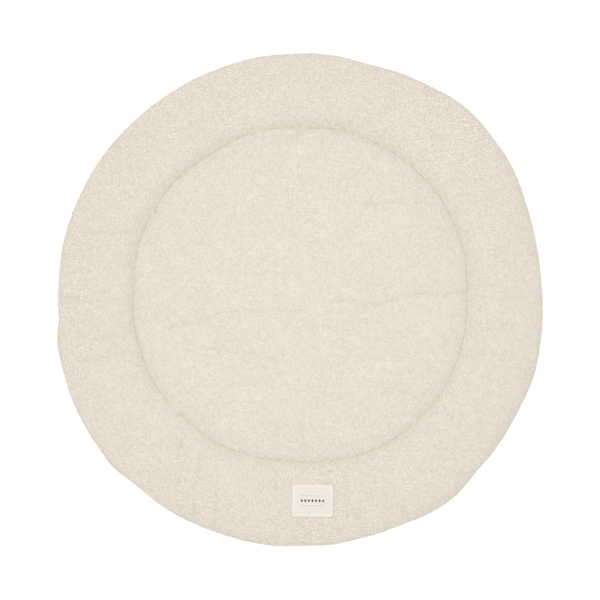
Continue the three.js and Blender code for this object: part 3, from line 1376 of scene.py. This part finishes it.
    def _standing_tree(self, curls: bpy.types.Collection) -> bpy.types.NodeTree:
        """Makes the nodes that stand a curl on each point, turned, sized and tinted.

        Args:
            curls: The modelled curls, one of each form.

        Returns:
            The geometry nodes.
        """
        tree = bpy.data.node_groups.new("standing_curls", "GeometryNodeTree")
        for way in ("INPUT", "OUTPUT"):
            tree.interface.new_socket(
                "Geometry", in_out=way, socket_type="NodeSocketGeometry")
        sheet = NodeSheet(tree)
        start = tree.nodes.new("NodeGroupInput").outputs["Geometry"]
        choice = self._chance(sheet, 0, "INT", 0, len(Curl) - 1)
        lean = self._chance(sheet, 1, "FLOAT_VECTOR", (-self.tilt, -self.tilt, 0.0),
                            (self.tilt, self.tilt, 2 * math.pi))
        facing = self._held(sheet, FACING, "FLOAT_VECTOR")
        turned = sheet.out("FunctionNodeRotateRotation", {
            "Rotation": sheet.out(
                "FunctionNodeAlignRotationToVector", {"Vector": facing}, axis="Z"),
            "Rotate By": sheet.out("FunctionNodeEulerToRotation", {"Euler": lean}),
        }, rotation_space="LOCAL")
        size = self._chance(
            sheet, 2, "FLOAT_VECTOR", (self.smallest,) * 3, (self.largest,) * 3)
        grown = sheet.out("ShaderNodeMapRange", {
            "Value": self._held(sheet, FROM_SEAM, "FLOAT"),
            "From Max": self.short_reach, "To Min": self.short_by_seam})
        sized = sheet.out("ShaderNodeVectorMath", {0: size, "Scale": grown}, operation="SCALE")
        forms = sheet.out("GeometryNodeCollectionInfo", {
            "Collection": curls, "Separate Children": True, "Reset Children": True})
        stood = sheet.out("GeometryNodeInstanceOnPoints", {
            "Points": start, "Instance": forms, "Pick Instance": True,
            "Instance Index": choice, "Rotation": turned, "Scale": sized})
        tone = self._chance(sheet, 3, "FLOAT", 0.0, 1.0)
        tinted = sheet.out(
            "GeometryNodeStoreNamedAttribute", {"Geometry": stood, "Name": TONE, "Value": tone},
            data_type="FLOAT", domain="INSTANCE")
        whole = sheet.out("GeometryNodeRealizeInstances", {"Geometry": tinted})
        mapped = self._bake_map(sheet, whole)
        smooth = sheet.out("GeometryNodeSetShadeSmooth", {"Geometry": mapped})
        end = tree.nodes.new("NodeGroupOutput")
        tree.links.new(smooth, end.inputs["Geometry"])
        return tree

    def _chance(
        self, sheet: NodeSheet, draw: int, kind: str, low: Any, high: Any
    ) -> bpy.types.NodeSocket:
        """A value between two others for each point, by this draw's own seed."""
        inputs = {"Seed": self.seed + draw, "Min": low, "Max": high}
        return sheet.out("FunctionNodeRandomValue", inputs, data_type=kind)

    @staticmethod
    def _held(sheet: NodeSheet, name: str, kind: str) -> bpy.types.NodeSocket:
        """What the points carry under this name."""
        return sheet.out("GeometryNodeInputNamedAttribute", {"Name": name}, data_type=kind)

    @staticmethod
    def _bake_map(sheet: NodeSheet, geometry: bpy.types.NodeSocket) -> bpy.types.NodeSocket:
        """Stores a flat map seen from above, so that each curl keeps its own tone when baked.

        Args:
            sheet: The nodes.
            geometry: The curls.

        Returns:
            The curls with their map.
        """
        place = sheet.out("GeometryNodeInputPosition")
        spread = sheet.out("ShaderNodeVectorMath", {
            0: place, 1: (MAP_SCALE, MAP_SCALE, 0.0), 2: (0.5, 0.5, 0.0)},
            operation="MULTIPLY_ADD")
        return sheet.out("GeometryNodeStoreNamedAttribute", {
            "Geometry": geometry, "Name": BAKE_MAP, "Value": spread},
            data_type="FLOAT2", domain="CORNER")


@dataclass(frozen=True)
class Stitch:
    """One visible stitch of thread, in metres."""

    length: float
    width: float
    sag: float
    flatness: float = 0.8

    def model(self) -> bpy.types.Object:
        """Models a rounded grain along x, whose ends dip into the cloth.

        Returns:
            The grain, about the origin.
        """
        deselect_all()
        bpy.ops.mesh.primitive_uv_sphere_add(segments=6, ring_count=6, radius=0.5)
        grain = named("stitch_form")
        size = (self.length, self.width, self.width * self.flatness)
        with editing():
            bpy.ops.transform.rotate(
                value=math.pi / 2, orient_axis="Y", center_override=(0, 0, 0))
            bpy.ops.transform.resize(value=size, center_override=(0, 0, 0))
        points = points_of(grain)
        points[:, 2] -= self.sag * (2 * points[:, 0] / self.length) ** 2
        put_points(grain, points)
        return grain


@dataclass
class RingStitches:
    """The thread that shows in the sewn ring."""

    form: PadForm
    stitch: Stitch = Stitch(0.0042, 0.0011, 0.0005)
    pitch: float = 0.005
    proud: float = 0.0001
    finish: ThreadFinish = field(default_factory=lambda: ThreadFinish(
        "ring_thread", (0.57, 0.46, 0.39, 1), (0.42, 0.32, 0.265, 1), sheen=0.1))

    def build(self, cover: bpy.types.Object, effects: Effects) -> bpy.types.Object:
        """Lays the stitches end to end along the ring, in its groove.

        Args:
            cover: The dressed pad.
            effects: The node groups that finishes share.

        Returns:
            The piece.
        """
        fine = self.form.ring(np.linspace(0, 360, 3601))
        runs = np.concatenate([[0], np.cumsum(np.linalg.norm(np.diff(fine, axis=0), axis=1))])
        count = round(runs[-1] / self.pitch)
        along = np.arange(count) * runs[-1] / count
        flat = np.column_stack([np.interp(along, runs, fine[:, axis]) for axis in (0, 1)])
        tangents = np.roll(flat, -1, axis=0) - np.roll(flat, 1, axis=0)
        heights, _ = Surface(cover).under(flat)
        normals = np.tile([0.0, 0.0, 1.0], (count, 1))
        places = np.column_stack([flat, heights + self.proud])
        rise = np.roll(heights, -1) - np.roll(heights, 1)
        turns = turns_along(np.column_stack([tangents, rise]), normals)
        stitches = repeat_form(self.stitch.model(), "ring_stitches", places, turns)
        stitches.data.materials.append(self.finish.make(effects))
        return stitches


@dataclass
class SewnLabel:
    """A small hemmed piece of cotton, stitched to the rim, with a plain sewn ornament."""

    form: LabelForm
    steps: tuple[int, int] = (64, 50)
    middle_lift: float = 0.0017
    stitched_lift: float = 0.0009
    drawn_spread: float = 0.003
    hem_height: float = 0.0004
    hem_step: float = 0.0006
    border_drop: float = 0.0003
    border_round: float = 0.0012
    stitch: Stitch = Stitch(0.0022, 0.00045, 0.0002)
    stitch_pitch: float = 0.003
    stitch_lift: float = 0.25
    lozenge: tuple[float, float, float] = (0.0046, 0.0066, 0.0006)
    lozenge_count: int = 7
    lozenge_pitch: float = 0.0068
    lozenge_bevel: float = 0.4
    line_rows: tuple[float, ...] = (0.0095, -0.0095)
    line_stitches: int = 17
    line_pitch: float = 0.0028
    finish: LabelFinish = field(default_factory=lambda: LabelFinish(
        "label_cotton", (0.776, 0.724, 0.664, 1), (0.66, 0.61, 0.545, 1), roughness=0.85,
        turn=math.radians(0.9)))
    thread: ThreadFinish = field(default_factory=lambda: ThreadFinish(
        "label_thread", (0.80, 0.75, 0.66, 1), (0.66, 0.61, 0.52, 1), sheen=0.1))
    dark_thread: ThreadFinish = field(default_factory=lambda: ThreadFinish(
        "charcoal_thread", (0.085, 0.08, 0.078, 1), (0.05, 0.048, 0.047, 1), sheen=0.1))

    def build(self, cover: bpy.types.Object, effects: Effects) -> list[bpy.types.Object]:
        """Makes the label and what is sewn on it.

        Args:
            cover: The dressed pad.
            effects: The node groups that finishes share.

        Returns:
            The label, its stitches and its ornament.
        """
        label = self._cloth(cover)
        label.data.materials.append(self.finish.make(effects))
        surface = Surface(label)
        stitches = self._sew_down(surface)
        stitches.data.materials.append(self.thread.make(effects))
        ornament = self._ornament(surface)
        ornament.data.materials.append(self.dark_thread.make(effects))
        return [label, stitches, ornament]

    def _cloth(self, cover: bpy.types.Object) -> bpy.types.Object:
        """Lays the label's cloth on the pile, drawn down along its stitches.

        Args:
            cover: The dressed pad.

        Returns:
            The label.
        """
        form = self.form
        deselect_all()
        bpy.ops.mesh.primitive_grid_add(
            x_subdivisions=self.steps[0], y_subdivisions=self.steps[1], size=1)
        label = named("sewn_label")
        flat = points_of(label)[:, :2] * (form.width, form.length)
        reach = math.hypot(form.width / 2, form.length / 2) - form.corner
        far = np.linalg.norm(flat, axis=1, keepdims=True)
        flat *= np.minimum(1, reach / np.maximum(far, TINY))
        inset = form.inset(flat)
        ground, _ = Surface(cover).under(form.place(flat))
        drawn = bell(inset - form.stitch_inset, self.drawn_spread)
        lift = self.middle_lift - (self.middle_lift - self.stitched_lift) * drawn
        in_hem = 1 - smooth_step(inset, form.hem - self.hem_step, form.hem + self.hem_step)
        at_border = 1 - smooth_step(inset, 0, self.border_round)
        lift += self.hem_height * in_hem - self.border_drop * at_border
        put_points(label, np.column_stack([form.place(flat), ground + lift]))
        keep_values(label, HEM, in_hem)
        self._ease(label)
        apply_modifier(label, "SOLIDIFY", thickness=form.thickness, offset=-1.0)
        label.data.shade_smooth()
        return label

    @staticmethod
    def _ease(label: bpy.types.Object) -> None:
        """Evens out the small lumps that the label bridges.

        Args:
            label: The label. Its points move.
        """
        select_only(label)
        with editing():
            bpy.ops.mesh.vertices_smooth(
                factor=0.5, repeat=2, xaxis=False, yaxis=False, zaxis=True)

    def _sew_down(self, surface: Surface) -> bpy.types.Object:
        """Sews the label down all round, just inside its border.

        Args:
            surface: The label's top.

        Returns:
            The stitches.
        """
        wide = self.form.width / 2 - self.form.stitch_inset
        long = self.form.length / 2 - self.form.stitch_inset
        corners = np.array([(-wide, -long), (wide, -long), (wide, long), (-wide, long)])
        places, tangents = [], []
        for start, end in zip(corners, np.roll(corners, -1, axis=0)):
            count = round(float(np.linalg.norm(end - start)) / self.stitch_pitch)
            shares = (np.arange(count) + 0.5)[:, None] / count
            places.append(start + (end - start) * shares)
            tangents.append(np.tile(end - start, (count, 1)))
        return self._thread(
            surface, "label_stitches", np.concatenate(places), np.concatenate(tangents))

    def _thread(
        self, surface: Surface, name: str, flat: np.ndarray, tangents: np.ndarray
    ) -> bpy.types.Object:
        """Lays stitches on the label.

        Args:
            surface: The label's top.
            name: The name of the new piece.
            flat: Where each stitch goes on the flat label.
            tangents: Which way each stitch runs on the flat label.

        Returns:
            The piece.
        """
        heights, normals = surface.under(self.form.place(flat))
        heights += self.stitch.width * self.stitch_lift
        places = np.column_stack([self.form.place(flat), heights])
        turned = self.form.place(tangents) - self.form.centre
        along = np.column_stack([turned, np.zeros(len(turned))])
        return repeat_form(self.stitch.model(), name, places, turns_along(along, normals))

    def _ornament(self, surface: Surface) -> bpy.types.Object:
        """Sews a row of satin-stitched lozenges between two plain lines of stitches.

        Args:
            surface: The label's top.

        Returns:
            The ornament.
        """
        spots = centred(self.lozenge_count, self.lozenge_pitch)
        flat = np.column_stack([spots, np.zeros(len(spots))])
        heights, normals = surface.under(self.form.place(flat))
        places = np.column_stack([self.form.place(flat), heights])
        across = np.tile([math.cos(self.form.turn), math.sin(self.form.turn), 0], (len(flat), 1))
        lozenges = repeat_form(
            self._lozenge(), "label_ornament", places, turns_along(across, normals))
        steps = centred(self.line_stitches, self.line_pitch)
        rows = np.array([(x, y) for y in self.line_rows for x in steps])
        lines = self._thread(surface, "label_lines", rows, np.tile([1.0, 0.0], (len(rows), 1)))
        select_only(lozenges)
        lines.select_set(True)
        bpy.ops.object.join()
        return lozenges

    def _lozenge(self) -> bpy.types.Object:
        """Models a low four-sided mound of satin stitch.

        Returns:
            The mound, about the origin.
        """
        deselect_all()
        bpy.ops.mesh.primitive_cylinder_add(vertices=4, radius=0.5, depth=1)
        lozenge = named("lozenge_form")
        bevel = self.lozenge[2] * self.lozenge_bevel
        with editing():
            bpy.ops.transform.resize(value=self.lozenge, center_override=(0, 0, 0))
            bpy.ops.mesh.bevel(offset=bevel, segments=1, affect="EDGES")
        return lozenge


@dataclass
class Studio:
    """A plain pale floor, soft light from the upper left, and a camera straight above."""

    floor_size: float = 24.0
    floor_drop: float = 0.0004
    floor_shade: float = 0.92
    floor_glow: float = 0.2
    world_strength: float = 1.14
    key_power: float = 64.0
    key_size: float = 4.4
    key_place: tuple[float, float, float] = (-3.0, 3.4, 5.0)
    lens: float = 85.0
    sensor: float = 36.0
    frame_width: float = 1.1566
    focus_height: float = 0.0068
    aim: tuple[float, float] = (0.00004, -0.0004)

    def build(self) -> None:
        """Puts up the camera, the floor and the lights."""
        self._camera()
        self._floor()
        self._light()

    def _camera(self) -> None:
        """Sets up a camera that frames the mat as the photograph does."""
        height = self.frame_width * self.lens / self.sensor
        deselect_all()
        bpy.ops.object.camera_add(location=(*self.aim, self.focus_height + height))
        camera = bpy.context.active_object
        camera.name = "camera"
        camera.rotation_euler = (0, 0, 0)
        camera.data.lens = self.lens
        camera.data.sensor_width = self.sensor
        camera.data.dof.use_dof = False
        bpy.context.scene.camera = camera

    def _floor(self) -> None:
        """Lays a wide white floor just under the mat."""
        deselect_all()
        bpy.ops.mesh.primitive_plane_add(
            size=self.floor_size, location=(0, 0, -self.floor_drop))
        floor = named("floor")
        material = bpy.data.materials.new("white_floor")
        material.use_nodes = True
        set_inputs(material.node_tree.nodes["Principled BSDF"], {
            "Base Color": (*[self.floor_shade] * 3, 1), "Roughness": 0.9,
            "Specular IOR Level": 0.1, "Emission Color": (1, 1, 1, 1),
            "Emission Strength": self.floor_glow})
        floor.data.materials.append(material)

    def _light(self) -> None:
        """Sets up a white surround and one large soft lamp."""
        world = bpy.data.worlds.new("white_surround")
        world.use_nodes = True
        set_inputs(world.node_tree.nodes["Background"], {
            "Color": (1, 1, 1, 1), "Strength": self.world_strength})
        bpy.context.scene.world = world
        deselect_all()
        bpy.ops.object.light_add(type="AREA", location=self.key_place)
        key = bpy.context.active_object
        key.name = "key_light"
        key.data.energy = self.key_power
        key.data.shape = "DISK"
        key.data.size = self.key_size
        key.rotation_euler = (-Vector(self.key_place)).to_track_quat("-Z", "Y").to_euler()
        bpy.context.scene.view_settings.view_transform = "Standard"


def declare(piece: bpy.types.Object) -> None:
    """Rides a piece on the mat's body and reports it.

    Args:
        piece: The finished piece.
    """
    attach(piece, BODY)
    log.info("%s: %d points, %d faces", piece.name, len(piece.data.vertices),
             len(piece.data.polygons))


def main() -> None:
    """Builds the scene, piece by piece."""
    logging.basicConfig(level=logging.INFO, format="%(name)s: %(message)s")
    Studio().build()
    effects = Effects()
    form = PadForm()
    label_form = LabelForm()
    cover = PadCover(form).build(effects)
    declare(cover)
    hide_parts("mat")
    for piece in Pile(form, label_form).build(cover, effects):
        declare(piece)
    declare(RingStitches(form).build(cover, effects))
    label, stitches, ornament = SewnLabel(label_form).build(cover, effects)
    for piece in (label, stitches, ornament):
        declare(piece)
    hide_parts("label")


if __name__ == "__main__":
    main()
